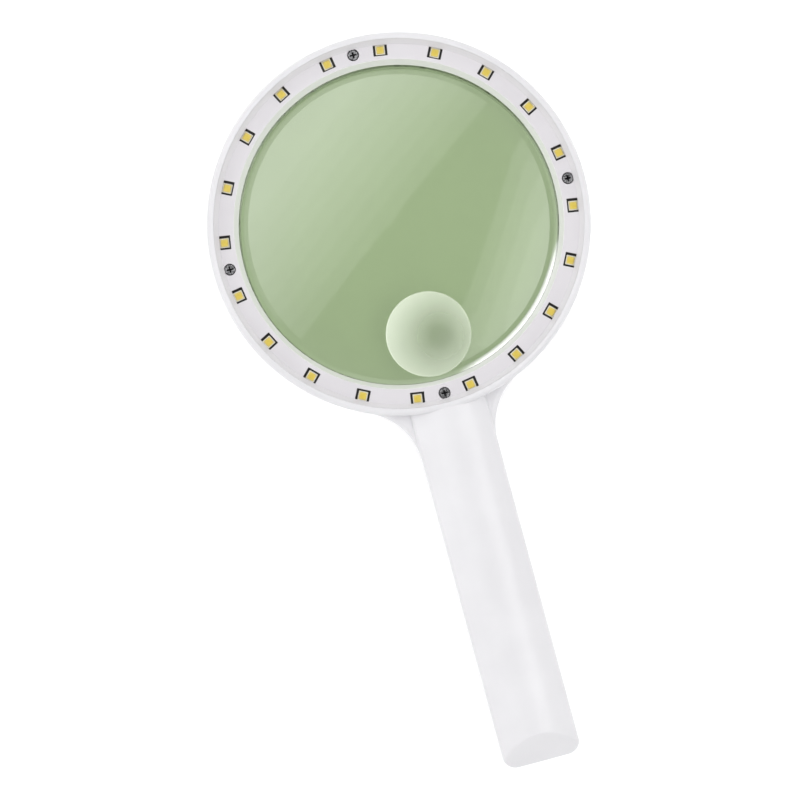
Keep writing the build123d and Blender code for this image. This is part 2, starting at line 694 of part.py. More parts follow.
# --- Push button: an oval cap, held in by a flange, with a stem up to the switch ---------
with BuildPart() as power_button:
    with BuildSketch(BUTTON_PLANE.offset(BUTTON_RECESS)):
        SlotOverall(BUTTON_LONG, BUTTON_WIDE, rotation=90)
    extrude(amount=BUTTON_FLANGE_Z - BUTTON_RECESS + OVERLAP)
    fillet(power_button.faces().sort_by(Axis.Z)[0].edges(), radius=BUTTON_ROUND)
    with BuildSketch(BUTTON_PLANE.offset(BUTTON_FLANGE_Z)):
        SlotOverall(
            BUTTON_LONG + 2 * BUTTON_FLANGE_OUT,
            BUTTON_WIDE + 2 * BUTTON_FLANGE_OUT,
            rotation=90,
        )
    extrude(amount=BUTTON_FLANGE_T)
    with BuildSketch(BUTTON_PLANE.offset(BUTTON_FLANGE_Z)):
        Circle(STEM_R)
    extrude(amount=PLUNGER_Z - BUTTON_FLANGE_Z)
    # Dimples that a thumb can find without looking
    with BuildSketch(BUTTON_PLANE.offset(BUTTON_RECESS)):
        with GridLocations(0, DIMPLE_STEP, 1, DIMPLE_COUNT):
            Circle(DIMPLE_R)
    extrude(amount=DIMPLE_DEEP, mode=Mode.SUBTRACT)
save(power_button, "power_button")

# --- Switch: a square body with a plunger, under a small board ---------------------------
with BuildPart() as switch_plunger:
    with BuildSketch(BUTTON_PLANE.offset(PLUNGER_Z)):
        Circle(PLUNGER_R)
    extrude(amount=PLUNGER_TALL)
save(switch_plunger, "switch_plunger")

with BuildPart() as switch_body:
    with BuildSketch(BUTTON_PLANE.offset(SWITCH_Z)):
        RectangleRounded(SWITCH_SIDE, SWITCH_SIDE, SWITCH_CORNER_R)
    extrude(amount=SWITCH_BOARD_Z - SWITCH_Z)
    with BuildSketch(BUTTON_PLANE.offset(SWITCH_Z)):
        Circle(PLUNGER_R + PLUNGER_PLAY)
    extrude(amount=PLUNGER_TALL + PLUNGER_PLAY, mode=Mode.SUBTRACT)
save(switch_body, "switch_body")

with BuildPart() as switch_board:
    with BuildSketch(Plane.XY.offset(SWITCH_BOARD_Z)):
        with Locations((0, along(sum(SWITCH_BOARD_L) / 2))):
            Rectangle(2 * SWITCH_BOARD_HALF, SWITCH_BOARD_L[1] - SWITCH_BOARD_L[0])
    extrude(amount=SWITCH_BOARD_T)
save(switch_board, "switch_board")

with BuildPart() as control_chip:
    with BuildSketch(BUTTON_PLANE.offset(SWITCH_BOARD_Z + SWITCH_BOARD_T)):
        with Locations((0, CHIP_UP)):
            with GridLocations(CHIP_LEG_SPAN, CHIP_LEG_PITCH, 2, CHIP_LEGS):
                Rectangle(CHIP_LEG_LONG, CHIP_LEG_WIDE)
    extrude(amount=CHIP_LEG_T)
    with BuildSketch(BUTTON_PLANE.offset(SWITCH_BOARD_Z + SWITCH_BOARD_T)):
        with Locations((0, CHIP_UP)):
            Rectangle(CHIP_WIDE, CHIP_LONG)
    extrude(amount=CHIP_T)
save(control_chip, "control_chip")

# --- Light wires: from the switch board, under the flange and up to the light board -------
for side, name in ((-1, "led_wire_black"), (1, "led_wire_red")):
    wire_x = side * WIRE_X
    with BuildPart() as led_wire:
        with BuildLine() as wire_path:
            FilletPolyline(
                (wire_x, along(WIRE_BOARD_L), SWITCH_BOARD_Z),
                (wire_x, along(WIRE_BOARD_L), WIRE_FLOOR_Z),
                (wire_x, along(WIRE_L), WIRE_FLOOR_Z),
                (wire_x, along(WIRE_L), BOARD_Z),
                radius=WIRE_BEND_R,
            )
        with BuildSketch(Plane(wire_path.line @ 0, z_dir=wire_path.line % 0)):
            Circle(WIRE_R)
        sweep(path=wire_path.line)
    save(led_wire, name)

# --- Battery door: the back of the handle, sliding off past its end -----------------------
with BuildPart() as battery_door:
    add(back_shell())
    split(
        bisect_by=Plane(origin=(0, along(DOOR_L), 0), z_dir=(0, -1, 0)),
        keep=Keep.TOP,
    )
    with BuildSketch(Plane.XY.offset(SPLIT_Z)):
        with Locations((0, along((DOOR_L + HANDLE_END) / 2))):
            Rectangle(TRIM_WIDE, HANDLE_END)
    extrude(amount=-DOOR_GAP, mode=Mode.SUBTRACT)
    # Beads inside the walls, riding on the feet of the tray ribs
    bead_z = RIB_FOOT_Z + RIB_T + DOOR_GAP
    for side in (-1, 1):
        with BuildSketch(Plane.XY.offset(bead_z)):
            with Locations((side * (HANDLE_HALF - WALL - BEAD_OUT / 2), along(RIB_MID_L))):
                Rectangle(BEAD_OUT, BEAD_LONG)
        extrude(amount=BEAD_TALL)
    # Grip grooves across the back
    with BuildSketch():
        with Locations((0, along(GROOVE_MIDDLE_L))):
            with GridLocations(0, GROOVE_STEP, 1, GROOVE_COUNT):
                SlotOverall(GROOVE_LONG, GROOVE_WIDE)
    extrude(amount=GROOVE_DEEP, mode=Mode.SUBTRACT)
save(battery_door, "battery_door")

# --- Battery cells -----------------------------------------------------------------------


def cell_plane(cell_x, start, toward_end):
    """Plane across a cell, facing the way that its terminal nub points."""
    z_dir = (0, -1, 0) if toward_end else (0, 1, 0)
    far = start + CELL_LENGTH
    return Plane(
        origin=(cell_x, along(start if toward_end else far), CELL_Z), x_dir=(1, 0, 0), z_dir=z_dir
    )


CELLS = (
    ("battery_left", -CELL_SIDE, PAIR_L, False),
    ("battery_right", CELL_SIDE, PAIR_L, True),
    ("battery_rear", 0, REAR_L, False),
)
for name, cell_x, start, toward_end in CELLS:
    base = cell_plane(cell_x, start, toward_end)
    with BuildPart() as cell:
        with BuildSketch(base):
            Circle(CELL_R)
        extrude(amount=CELL_LENGTH - CELL_NUB_T)
        fillet(cell.edges(), radius=CELL_ROUND)
        with BuildSketch(base.offset(CELL_LENGTH - CELL_NUB_T - OVERLAP)):
            Circle(CELL_NUB_R)
        extrude(amount=CELL_NUB_T + OVERLAP)
    save(cell, name)


def contact_plate(plate_x, near):
    """Sprung-steel plate across the tray, with its near face at `near`."""
    with BuildPart() as plate:
        with Locations((plate_x, along(near + CONTACT_T / 2), CELL_Z)):
            Box(PLATE_SIDE, CONTACT_T, PLATE_SIDE)
    return plate.part


def contact_stud(stud_x, near, far):
    """Raised stud that meets the nub of a cell."""
    with BuildPart() as stud:
        with BuildSketch(Plane(origin=(stud_x, along(near), CELL_Z), z_dir=(0, -1, 0))):
            Circle(STUD_R)
        extrude(amount=far - near)
    return stud.part


def solder_tab(cell_x):
    """Tab through the bulkhead, lying on the switch board."""
    near = SWITCH_BOARD_L[1] - TAB_LAP
    far = BULKHEAD_L[1] + CONTACT_T
    with BuildPart() as tab:
        with Locations((cell_x, along((near + far) / 2), TAB_Z)):
            Box(TAB_WIDE, far - near, TAB_T)
    return tab.part


with BuildPart() as positive_contact:
    add(contact_plate(-CELL_SIDE, BULKHEAD_L[1]))
    add(contact_stud(-CELL_SIDE, BULKHEAD_L[1], PAIR_L))
    add(solder_tab(-CELL_SIDE))
save(positive_contact, "positive_contact")

with BuildPart() as negative_contact:
    add(contact_plate(CELL_SIDE, BULKHEAD_L[1]))
    add(solder_tab(CELL_SIDE))
save(negative_contact, "negative_contact")

# Joins the left cell's flat end to the rear cell's nub, over the top of the partition
with BuildPart() as link_contact:
    add(contact_plate(-CELL_SIDE, PARTITION_L[0] - CONTACT_T))
    add(contact_plate(LINK_PLATE_X, PARTITION_L[1]))
    add(contact_stud(0, PARTITION_L[1], REAR_L))
    link_near = PARTITION_L[0] - CONTACT_T
    link_far = PARTITION_L[1] + CONTACT_T
    with Locations((LINK_X, along((link_near + link_far) / 2), PARTITION_Z + CONTACT_T / 2)):
        Box(LINK_WIDE, link_far - link_near, CONTACT_T)
    for link_l in (link_near + CONTACT_T / 2, link_far - CONTACT_T / 2):
        with Locations((LINK_X, along(link_l), (CELL_Z + PARTITION_Z + CONTACT_T) / 2)):
            Box(LINK_WIDE, CONTACT_T, PARTITION_Z + CONTACT_T - CELL_Z)
save(link_contact, "link_contact")

# Joins the right cell's nub to the rear cell's spring, by a strap along the tray rib
with BuildPart() as series_strap:
    add(contact_plate(CELL_SIDE, PARTITION_L[0] - CONTACT_T))
    add(contact_stud(CELL_SIDE, PAIR_END, PARTITION_L[0]))
    strap_near = PARTITION_L[0] - CONTACT_T
    strap_mid = along((strap_near + END_STOP_L[0]) / 2)
    with Locations((STRAP_X, strap_mid, CELL_Z)):
        Box(STRAP_T, END_STOP_L[0] - strap_near, STRAP_HEIGHT)
    for strap_l, inner_x in (
        (strap_near + CONTACT_T / 2, CELL_SIDE),
        (END_STOP_L[0] - CONTACT_T / 2, 0),
    ):
        with Locations(((STRAP_X + inner_x) / 2, along(strap_l), CELL_Z)):
            Box(STRAP_X - inner_x, CONTACT_T, STRAP_HEIGHT)
    add(contact_plate(0, END_STOP_L[0] - CONTACT_T))
save(series_strap, "series_strap")

# --- Battery springs ------------------------------------------------------------------------
SPRINGS = (
    ("near_spring", CELL_SIDE, BULKHEAD_L[1] + CONTACT_T, PAIR_L),
    ("middle_spring", -CELL_SIDE, PAIR_END, PARTITION_L[0] - CONTACT_T),
    ("rear_spring", 0, REAR_END, END_STOP_L[0] - CONTACT_T),
)
for name, spring_x, near, far in SPRINGS:
    height = far - near - 2 * SPRING_WIRE_R
    with BuildPart() as spring:
        with BuildLine() as coil:
            Helix(
                pitch=height / SPRING_TURNS,
                height=height,
                radius=SPRING_COIL_R,
                center=(spring_x, along(near + SPRING_WIRE_R), CELL_Z),
                direction=(0, -1, 0),
            )
        with BuildSketch(Plane(coil.line @ 0, z_dir=coil.line % 0)):
            Circle(SPRING_WIRE_R)
        sweep(path=coil.line, is_frenet=True)
    save(spring, name)
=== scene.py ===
import math

import bmesh
import bpy
from mathutils import Matrix, Vector


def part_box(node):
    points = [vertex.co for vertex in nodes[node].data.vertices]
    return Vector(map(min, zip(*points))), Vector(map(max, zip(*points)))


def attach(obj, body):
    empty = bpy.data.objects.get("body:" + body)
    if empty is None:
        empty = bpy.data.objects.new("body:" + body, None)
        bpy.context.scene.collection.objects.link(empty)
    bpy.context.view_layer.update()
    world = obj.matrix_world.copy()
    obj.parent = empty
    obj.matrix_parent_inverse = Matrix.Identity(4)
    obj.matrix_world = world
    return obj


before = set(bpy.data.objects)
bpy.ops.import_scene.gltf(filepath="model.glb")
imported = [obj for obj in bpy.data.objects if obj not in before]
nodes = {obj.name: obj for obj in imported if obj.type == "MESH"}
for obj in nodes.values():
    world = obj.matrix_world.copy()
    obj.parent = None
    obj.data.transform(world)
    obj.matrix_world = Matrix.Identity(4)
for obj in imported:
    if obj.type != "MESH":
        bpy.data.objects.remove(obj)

scene = bpy.context.scene
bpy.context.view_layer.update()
MM = 0.001

# --- Where things are, worked out from the frame ------------------------------------

ring_low, ring_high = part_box("led_cover_ring")
RING = Vector(((ring_low.x + ring_high.x) / 2, (ring_low.y + ring_high.y) / 2, 0))
LED_COUNT = 20

# --- Node trees -----------------------------------------------------------------------

NOISE_RANGE = (0.35, 0.65)  # where most of a noise's values lie


class Nodes:
    """A new material's node tree, with short calls for the nodes that the materials share."""

    def __init__(self, name):
        self.material = bpy.data.materials.new(name)
        self.material.use_nodes = True
        self.tree = self.material.node_tree
        self.tree.nodes.clear()
        self.output = self.add("ShaderNodeOutputMaterial")

    def add(self, kind, **settings):
        node = self.tree.nodes.new(kind)
        for key, value in settings.items():
            setattr(node, key, value)
        return node

    def link(self, source, target):
        self.tree.links.new(source, target)

    def put(self, socket, value):
        """Links the socket to another node's output, or sets it to a number or a colour."""
        if isinstance(value, bpy.types.NodeSocket):
            self.link(value, socket)
        elif isinstance(value, tuple):
            socket.default_value = (*value, 1)
        else:
            socket.default_value = value

    def position(self):
        return self.add("ShaderNodeTexCoord").outputs["Object"]

    def axes(self, vector):
        """The X, Y and Z outputs of a vector."""
        node = self.add("ShaderNodeSeparateXYZ")
        self.link(vector, node.inputs["Vector"])
        return node.outputs

    def vector_maths(self, operation, first, second=None):
        node = self.add("ShaderNodeVectorMath", operation=operation)
        self.link(first, node.inputs[0])
        if second is not None:
            node.inputs[1].default_value = second
        return node.outputs

    def noise(self, scale, detail=2.0):
        node = self.add("ShaderNodeTexNoise")
        self.link(self.position(), node.inputs["Vector"])
        node.inputs["Scale"].default_value = scale
        node.inputs["Detail"].default_value = detail
        return node.outputs["Fac"]

    def spread(self, source, low, high, start=NOISE_RANGE[0], end=NOISE_RANGE[1]):
        """Runs from low to high as source goes from start to end, and stays there beyond them."""
        node = self.add("ShaderNodeMapRange")
        self.link(source, node.inputs["Value"])
        node.inputs["From Min"].default_value = start
        node.inputs["From Max"].default_value = end
        self.put(node.inputs["To Min"], low)
        self.put(node.inputs["To Max"], high)
        return node.outputs["Result"]

    def blend_colours(self, factor, first, second):
        node = self.add("ShaderNodeMix", data_type="RGBA")
        self.link(factor, node.inputs["Factor"])
        self.put(node.inputs["A"], first)
        self.put(node.inputs["B"], second)
        return node.outputs["Result"]

    def blend_shaders(self, factor, first, second):
        node = self.add("ShaderNodeMixShader")
        for socket, source in zip(node.inputs, (factor, first, second)):
            self.link(source, socket)
        return node.outputs["Shader"]

    def bump(self, height, strength, distance):
        node = self.add("ShaderNodeBump")
        self.link(height, node.inputs["Height"])
        node.inputs["Strength"].default_value = strength
        node.inputs["Distance"].default_value = distance
        return node.outputs["Normal"]

    def surface(self, **inputs):
        shader = self.add("ShaderNodeBsdfPrincipled")
        for name, value in inputs.items():
            self.put(shader.inputs[name.replace("_", " ")], value)
        self.link(shader.outputs["BSDF"], self.output.inputs["Surface"])


def radius_from(n, centre):
    """Distance from a vertical axis through centre."""
    offset = n.vector_maths("SUBTRACT", n.position(), centre)["Vector"]
    flat = n.vector_maths("MULTIPLY", offset, (1, 1, 0))["Vector"]
    return n.vector_maths("LENGTH", flat)["Value"]


def dress(name, material):
    mesh = nodes[name].data
    mesh.materials.clear()
    mesh.materials.append(material)


# --- Moulded plastic --------------------------------------------------------------------

CLOUD_SCALE = 45         # cloudiness in the colour
GLOSS_SCALE = 160        # patches of duller and glossier surface
GRAIN_SCALE = 1800
GRAIN_TALL = 0.2 * MM
GLOSS_BELOW = 0.04       # how far the roughness strays from its middle
GLOSS_ABOVE = 0.05
FINE_GRAIN = 0.02        # strengths of the grain
COARSE_GRAIN = 0.08
MATT_GRAIN = 0.1


def moulded(name, base, shade, rough, grain=FINE_GRAIN):
    """Moulded plastic: faint cloudiness in the colour, uneven gloss and a very fine grain."""
    n = Nodes(name)
    n.surface(
        Base_Color=n.blend_colours(n.spread(n.noise(CLOUD_SCALE, detail=3), 0, 1), base, shade),
        Roughness=n.spread(n.noise(GLOSS_SCALE), rough - GLOSS_BELOW, rough + GLOSS_ABOVE),
        Normal=n.bump(n.noise(GRAIN_SCALE, detail=1), grain, GRAIN_TALL),
    )
    return n.material


# Node, material, colour, colour of its clouds, roughness and grain
MOULDED = (
    ("led_board", "board_solder_mask",
     (0.018, 0.017, 0.016), (0.03, 0.028, 0.026), 0.35, FINE_GRAIN),
    ("led_resistors", "resistor_black",
     (0.02, 0.02, 0.022), (0.04, 0.04, 0.04), 0.5, FINE_GRAIN),
    ("power_button", "button_grey",
     (0.30, 0.31, 0.33), (0.27, 0.28, 0.30), 0.55, COARSE_GRAIN),
    ("switch_plunger", "plunger_black",
     (0.02, 0.02, 0.02), (0.03, 0.03, 0.03), 0.45, FINE_GRAIN),
    ("control_chip", "chip_epoxy",
     (0.025, 0.025, 0.027), (0.04, 0.04, 0.04), 0.6, MATT_GRAIN),
    ("switch_board", "board_green_mask",
     (0.02, 0.10, 0.04), (0.015, 0.07, 0.03), 0.3, FINE_GRAIN),
    ("led_wire_black", "wire_black",
     (0.015, 0.015, 0.015), (0.03, 0.03, 0.03), 0.45, FINE_GRAIN),
    ("led_wire_red", "wire_red",
     (0.45, 0.02, 0.015), (0.36, 0.015, 0.01), 0.45, FINE_GRAIN),
)
for node_name, name, base, shade, rough, grain in MOULDED:
    dress(node_name, moulded(name, base, shade, rough, grain))

white_shell = moulded("white_shell_plastic", (0.758, 0.752, 0.772), (0.728, 0.722, 0.742), 0.32)
for name in ("front_housing", "back_housing", "battery_door"):
    dress(name, white_shell)

led_white = moulded("led_package_white", (0.88, 0.85, 0.70), (0.85, 0.81, 0.62), 0.35)
for index in range(1, LED_COUNT + 1):
    dress(f"led_{index:02d}", led_white)

# --- Light cover ------------------------------------------------------------------------
# Its plate has a white of its own; its bevel carries a painted highlight and its slope painted
# light, both drawn as a lighter white and told apart by radius.

PLATE_WHITE = (0.70, 0.68, 0.705)
PLATE_SHADE = (0.67, 0.65, 0.675)
# Painted highlight on the bevel and painted light on the slope: the same plastic as the plate,
# drawn lighter
BEVEL_PAINTED_HIGHLIGHT = (0.88, 0.88, 0.87)
SLOPE_PAINTED_LIGHT = (0.75, 0.735, 0.75)
BEVEL_END_R = 67.0 * MM      # where the CAD's bevel meets the plate
SLOPE_START_R = 73.15 * MM   # and where the plate meets the slope
WHITE_FADE = 0.1 * MM
COVER_ROUGH = (0.16, 0.25)
COVER_GRAIN = 0.01


def cover_material():
    n = Nodes("white_cover_plastic")
    radius = radius_from(n, RING)
    on_bevel = n.spread(radius, 1, 0, BEVEL_END_R, BEVEL_END_R + WHITE_FADE)
    on_slope = n.spread(radius, 0, 1, SLOPE_START_R, SLOPE_START_R + WHITE_FADE)
    clouds = n.spread(n.noise(CLOUD_SCALE, detail=3), 0, 1)
    plate = n.blend_colours(clouds, PLATE_WHITE, PLATE_SHADE)
    # Painted highlight on the bevel, then painted light on the slope, over the plate's white
    with_bevel_highlight = n.blend_colours(on_bevel, plate, BEVEL_PAINTED_HIGHLIGHT)
    n.surface(
        Base_Color=n.blend_colours(on_slope, with_bevel_highlight, SLOPE_PAINTED_LIGHT),
        Roughness=n.spread(n.noise(GLOSS_SCALE), *COVER_ROUGH),
        Normal=n.bump(n.noise(GRAIN_SCALE, detail=1), COVER_GRAIN, GRAIN_TALL),
    )
    return n.material


dress("led_cover_ring", cover_material())

# --- Lenses: see-through and mirroring, without bending the light -------------------------

GRAZING_POWER = 5.0          # of Schlick's curve
LENS_TINT = (0.738, 0.802, 0.666)
# The same green, painted a little lighter near the rim as painted light against the rim's shadow
# under the lens
LENS_EDGE_PAINTED_LIGHT_TINT = (0.748, 0.812, 0.678)
EDGE_PAINTED_LIGHT_FADE = (52 * MM, 65 * MM)
UPRIGHT = (0.3, 0.6)         # how far a face turns up or down before it carries the tint
LENS_MIRROR = 0.11           # what the lens mirrors straight on
LENS_ROUGH = 0.04
SHOULDER_R = 63.2 * MM       # where the CAD's shoulder starts
SHOULDER_FADE = 0.3 * MM
SHOULDER_MIRROR = (0.06, 0.55)  # away from the polished side and on it
POLISHED_SIDE = Vector((0.62, -0.785, 0))
SIDE_FADE = (55 * MM, 60 * MM)

# Painted glare: a diffuse white laid over the inset lens, least at one point and stronger towards
# its steep edge and in a ring at its rim
PAINTED_GLARE_COLOUR = (0.87, 0.95, 0.78)
PAINTED_GLARE_SHARE = (0.05, 0.68)    # at its clearest point and far from it
PAINTED_GLARE_FADE = (3.0 * MM, 23 * MM)
LEAST_GLARE_POINT = Vector((4.5, -2.0, 0)) * MM  # from the middle of the inset lens
RIM_GLARE_SHARE = 0.2
RIM_GLARE_FADE = (16.7 * MM, 17.2 * MM)
INSET_MIRROR = 0.035
INSET_ROUGH = 0.3


def schlick(n, straight_on):
    """How much a polished surface mirrors, rising towards grazing angles."""
    facing = n.add("ShaderNodeLayerWeight")
    facing.inputs["Blend"].default_value = 0.5
    power = n.add("ShaderNodeMath", operation="POWER")
    n.link(facing.outputs["Facing"], power.inputs[0])
    power.inputs[1].default_value = GRAZING_POWER
    return n.spread(power.outputs["Value"], straight_on, 1, 0, 1)


def polished(n, body, behind, straight_on, rough):
    """Lays a mirror gloss over body, on its outside. From inside, behind shows instead."""
    gloss = n.add("ShaderNodeBsdfGlossy")
    gloss.inputs["Roughness"].default_value = rough
    coated = n.blend_shaders(schlick(n, straight_on), body, gloss.outputs["BSDF"])
    from_inside = n.add("ShaderNodeNewGeometry").outputs["Backfacing"]
    n.link(n.blend_shaders(from_inside, coated, behind), n.output.inputs["Surface"])


def main_lens_material():
    """Clear acrylic with a green cast, which its faces carry and its edge walls don't; the cast
    is painted a little lighter towards the rim, as painted light against the rim's shadow below.
    """
    n = Nodes("main_lens_acrylic")
    clear = n.add("ShaderNodeBsdfTransparent")
    radius = radius_from(n, RING)
    height = n.add("ShaderNodeMath", operation="ABSOLUTE")
    n.link(n.axes(n.add("ShaderNodeNewGeometry").outputs["Normal"])["Z"], height.inputs[0])
    face = n.spread(height.outputs["Value"], 0, 1, *UPRIGHT)
    # Painted light: the tint lightens towards the rim
    tint = n.blend_colours(n.spread(radius, 0, 1, *EDGE_PAINTED_LIGHT_FADE), LENS_TINT, LENS_EDGE_PAINTED_LIGHT_TINT)
    n.link(n.blend_colours(face, (1, 1, 1), tint), clear.inputs["Color"])
    heading = n.vector_maths("SUBTRACT", n.position(), RING)["Vector"]
    reach = n.vector_maths("DOT_PRODUCT", heading, POLISHED_SIDE)["Value"]
    shoulder_mirror = n.spread(reach, *SHOULDER_MIRROR, *SIDE_FADE)
    on_shoulder = n.spread(radius, 0, 1, SHOULDER_R, SHOULDER_R + SHOULDER_FADE)
    mirror = n.spread(on_shoulder, LENS_MIRROR, shoulder_mirror, 0, 1)
    polished(n, clear.outputs["BSDF"], clear.outputs["BSDF"], mirror, LENS_ROUGH)
    return n.material


def inset_lens_material():
    """The strong lens: nearly clear at one point, with painted glare in white towards its steep
    edge.
    """
    n = Nodes("inset_lens_acrylic")
    clear = n.add("ShaderNodeBsdfTransparent")
    n.put(clear.inputs["Color"], (1, 1, 1))
    painted_glare = n.add("ShaderNodeBsdfDiffuse")
    n.put(painted_glare.inputs["Color"], PAINTED_GLARE_COLOUR)
    low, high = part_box("inset_lens")
    middle = (low + high) / 2
    share = n.add("ShaderNodeMath", operation="ADD", use_clamp=True)
    n.link(n.spread(radius_from(n, middle + LEAST_GLARE_POINT), *PAINTED_GLARE_SHARE, *PAINTED_GLARE_FADE), share.inputs[0])
    n.link(n.spread(radius_from(n, middle), 0, RIM_GLARE_SHARE, *RIM_GLARE_FADE), share.inputs[1])
    # Painted glare mixed over the clear lens
    with_painted_glare = n.blend_shaders(share.outputs["Value"], clear.outputs["BSDF"], painted_glare.outputs["BSDF"])
    polished(n, with_painted_glare, clear.outputs["BSDF"], INSET_MIRROR, INSET_ROUGH)
    return n.material


dress("main_lens", main_lens_material())
dress("inset_lens", inset_lens_material())

# --- Phosphor pads in the pockets of the lights -------------------------------------------

PHOSPHOR = (0.82, 0.64, 0.10)
PHOSPHOR_EDGE = (0.88, 0.74, 0.30)
PHOSPHOR_DEEP = (0.70, 0.50, 0.05)
PHOSPHOR_FADE = (0.9 * MM, 1.9 * MM)
MOTTLE_SCALE = 900
MOTTLE_SHARE = 0.25
MOTTLE_BUMP = 0.1
MOTTLE_TALL = 0.1 * MM
GEL_HALF = 1.5 * MM
GEL_CORNER = 0.45 * MM
GEL_CORNER_STEPS = 4
GEL_DEPTH = 0.28 * MM
GEL_DOME = 0.04 * MM
GEL_DOME_POWER = 0.8
GEL_RINGS = (1.0, 0.9, 0.7, 0.45, 0.2)  # the dome's rings, as shares of the outline
GEL_BELOW_TOP = 0.06 * MM
GEL_ROUGH = 0.3


def rounded_square(half, corner, steps):
    """Outline points of a square with rounded corners, anticlockwise."""
    points = []
    for quarter in range(4):
        turn = math.radians(90 * quarter)
        corner_x = (half - corner) * (1 if quarter in (0, 3) else -1)
        corner_y = (half - corner) * (1 if quarter in (0, 1) else -1)
        for step in range(steps + 1):
            angle = turn + math.radians(90) * step / steps
            points.append(
                (corner_x + corner * math.cos(angle), corner_y + corner * math.sin(angle))
            )
    return points


def gel_mesh():
    """A shallow pad that fills a light's square pocket, slightly domed on top."""
    outline = rounded_square(GEL_HALF, GEL_CORNER, GEL_CORNER_STEPS)
    bm = bmesh.new()
    rings = []
    for share in GEL_RINGS:
        height = GEL_DOME * (1 - share ** 2) ** GEL_DOME_POWER
        rings.append([bm.verts.new((x * share, y * share, height)) for x, y in outline])
    floor_ring = [bm.verts.new((x, y, -GEL_DEPTH)) for x, y in outline]
    count = len(outline)
    for outer, inner in zip([floor_ring] + rings[:-1], rings):
        for i in range(count):
            j = (i + 1) % count
            bm.faces.new((outer[i], outer[j], inner[j], inner[i]))
    bm.faces.new(rings[-1])
    bm.faces.new(list(reversed(floor_ring)))
    for face in bm.faces:
        face.smooth = True
    mesh = bpy.data.meshes.new("led_gel")
    bm.to_mesh(mesh)
    bm.free()
    return mesh


def phosphor_material():
    """Yellow silicone full of phosphor, paler where it thins at the edge of the pocket."""
    n = Nodes("led_phosphor_gel")
    from_middle = n.vector_maths("LENGTH", n.position())["Value"]
    mottle = n.noise(MOTTLE_SCALE, detail=3)
    edge = n.spread(from_middle, 0, 1, *PHOSPHOR_FADE)
    colour = n.blend_colours(edge, PHOSPHOR, PHOSPHOR_EDGE)
    n.surface(
        Base_Color=n.blend_colours(n.spread(mottle, 0, MOTTLE_SHARE), colour, PHOSPHOR_DEEP),
        Roughness=GEL_ROUGH,
        Normal=n.bump(mottle, MOTTLE_BUMP, MOTTLE_TALL),
    )
    return n.material


gel = gel_mesh()
gel.materials.append(phosphor_material())
for index in range(1, LED_COUNT + 1):
    low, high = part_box(f"led_{index:02d}")
    middle = (low + high) / 2
    piece = bpy.data.objects.new(f"led_gel_{index:02d}", gel)
    piece.location = (middle.x, middle.y, high.z - GEL_BELOW_TOP)
    piece.rotation_euler.z = math.atan2(middle.y - RING.y, middle.x - RING.x)
    scene.collection.objects.link(piece)
    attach(piece, "housing")

# --- Metal --------------------------------------------------------------------------------

WEAR_SCALE = 700             # patches of duller and brighter metal
SCRATCH_SCALE = 2500
SCRATCH_TALL = 0.1 * MM
SCREW_FACE = (0.36, 0.36, 0.37)
# Painted shade: the recess and the rounded edge below the head's face are drawn near black
SCREW_DARK = (0.10, 0.10, 0.105)
SCREW_RECESS_PAINTED_SHADE = (0.012, 0.012, 0.013)
SCREW_ROUGH = (0.22, 0.4)
SCREW_SCRATCHES = 0.1
FLECK_SCALE = 1500
FLECK_RANGE = (0.42, 0.6)
SHADE_START_DEPTH = 0.05 * MM       # below the face, the recess darkens from here
SHADE_END_DEPTH = 0.3 * MM
NICKEL = (0.66, 0.64, 0.60)
NICKEL_DARK = (0.55, 0.53, 0.49)
NICKEL_ROUGH = (0.22, 0.36)
NICKEL_SCRATCHES = 0.03
STREAK_SCALE = 300


def nickel_material():
    n = Nodes("nickel_plate")
    streaks = n.spread(n.noise(STREAK_SCALE, detail=4), 0, 1)
    n.surface(
        Base_Color=n.blend_colours(streaks, NICKEL, NICKEL_DARK),
        Metallic=1.0,
        Roughness=n.spread(n.noise(WEAR_SCALE), *NICKEL_ROUGH),
        Normal=n.bump(n.noise(SCRATCH_SCALE, detail=1), NICKEL_SCRATCHES, SCRATCH_TALL),
    )
    return n.material


def screw_material(name, face_z, inward):
    """Blackened steel, worn brighter on the face of the head, with painted shade in its recess
    and on the head's rounded edge below the face.
    """
    n = Nodes(name)
    height = n.axes(n.position())["Z"]
    # Painted shade, deepening with depth below the face of the head
    painted_shade = n.spread(height, 0, 1, face_z + inward * SHADE_START_DEPTH, face_z + inward * SHADE_END_DEPTH)
    flecks = n.spread(n.noise(FLECK_SCALE, detail=4), 0, 1, *FLECK_RANGE)
    face = n.blend_colours(flecks, SCREW_FACE, SCREW_DARK)
    n.surface(
        Base_Color=n.blend_colours(painted_shade, face, SCREW_RECESS_PAINTED_SHADE),
        Metallic=1.0,
        Roughness=n.spread(n.noise(WEAR_SCALE), *SCREW_ROUGH),
        Normal=n.bump(n.noise(SCRATCH_SCALE, detail=1), SCREW_SCRATCHES, SCRATCH_TALL),
    )
    return n.material


cover_screw_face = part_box("cover_screws")[1].z
housing_screw_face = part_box("housing_screws")[0].z
dress("cover_screws", screw_material("cover_screw_steel", cover_screw_face, -1))
dress("housing_screws", screw_material("housing_screw_steel", housing_screw_face, 1))
nickel = nickel_material()
for name in (
    "positive_contact", "negative_contact", "link_contact", "series_strap",
    "near_spring", "middle_spring", "rear_spring", "switch_body",
):
    dress(name, nickel)

# --- Battery cells: plain generic jackets ---------------------------------------------------

STEEL = (0.62, 0.61, 0.59)
JACKET = (0.12, 0.19, 0.25)
JACKET_END = (0.45, 0.48, 0.50)
SCUFF = (0.5, 0.48, 0.45)
SCUFF_SCALE = 400
SCUFF_SHARE = 0.03
SCUFF_RANGE = (0.55, 0.75)
CELL_METALLIC = 0.6
CELL_ROUGH = (0.22, 0.34)
CELL_GLOSS_SCALE = 300
